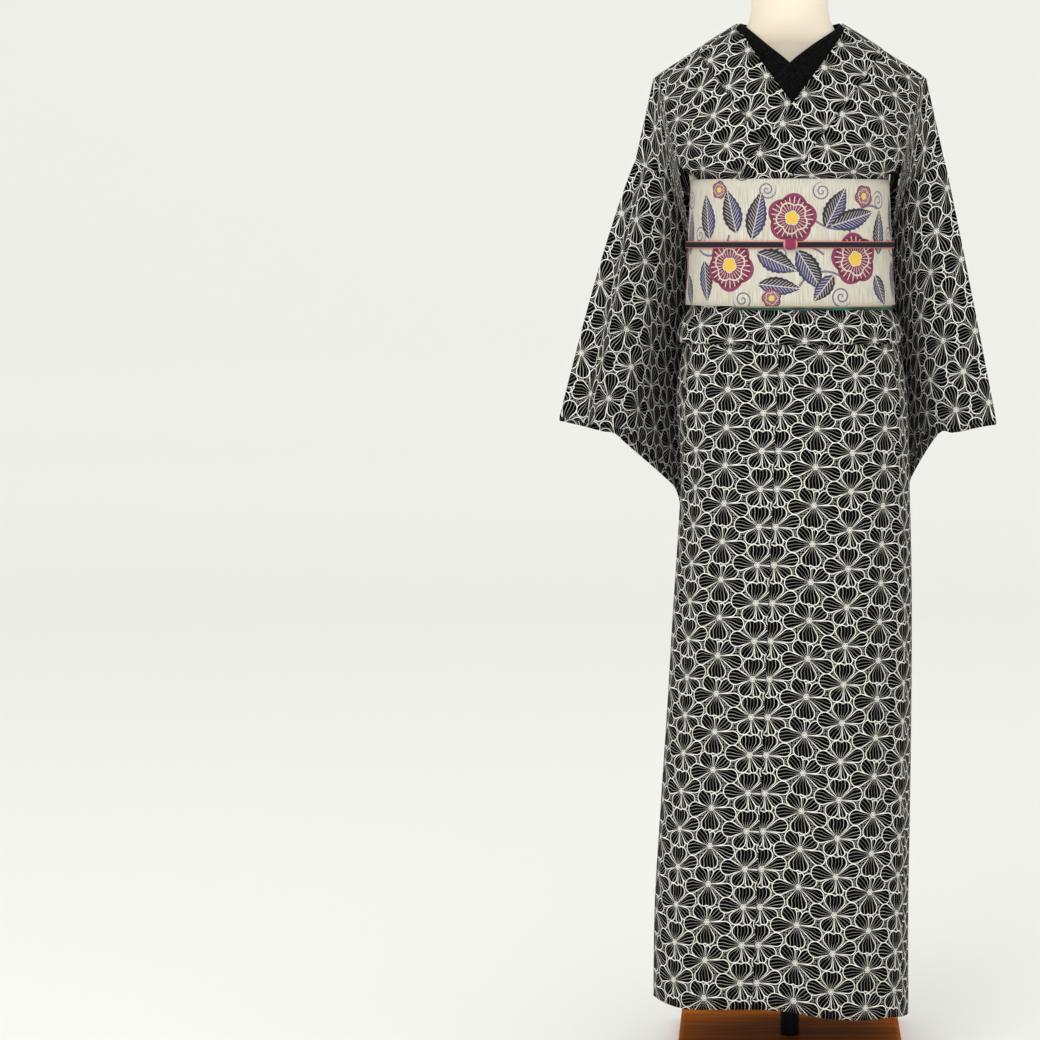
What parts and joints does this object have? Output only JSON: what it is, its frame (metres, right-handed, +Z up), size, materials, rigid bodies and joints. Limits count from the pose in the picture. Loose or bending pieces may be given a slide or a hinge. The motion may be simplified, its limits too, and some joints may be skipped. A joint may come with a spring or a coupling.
{
  "type": "lace kimono on a dress form",
  "caption": "Full-length lace-patterned kimono with square hanging sleeves, a wide printed sash and a cord, worn by a limbless dress form on a wooden base.",
  "frame": {"origin": "centre of the base board's underside", "axes": "+Z up, the garment faces -Y, the wearer's left is +X"},
  "size_m": [0.5709, 0.4661, 1.405],
  "materials": {
    "lace": "matte opaque black cloth with an ivory and grey flower lace pattern",
    "black_collar": "matte black patterned cloth",
    "obi_cloth": "cream slub weave with a coloured fruit and leaf print",
    "obi_reverse": "dark green smooth weave",
    "cord": "flat navy braid with coral edges",
    "cord_knot": "magenta braid",
    "form_cloth": "matte beige knitted cover",
    "pole_metal": "satin tube",
    "base_wood": "glossy orange-brown varnish"
  },
  "bodies": {
    "root": {"back_left": "lace", "back_right": "lace", "base_board": "base_wood", "bodice_left": "lace", "bodice_right": "lace", "collar": "lace", "cord_knot": "cord_knot", "form_pole": "pole_metal", "form_torso": "form_cloth", "front_left": "lace", "front_right": "lace", "inner_collar": "black_collar", "obi_cord": "cord", "obi_drum": "obi_cloth", "obi_end": "obi_cloth", "obi_tail": "obi_cloth", "obi_underlayer": "obi_reverse", "obi_wrap": "obi_cloth", "okumi_left": "lace", "okumi_right": "lace", "sleeve_left": "lace", "sleeve_right": "lace", "waist_fold": "lace"}
  },
  "joints": []
}
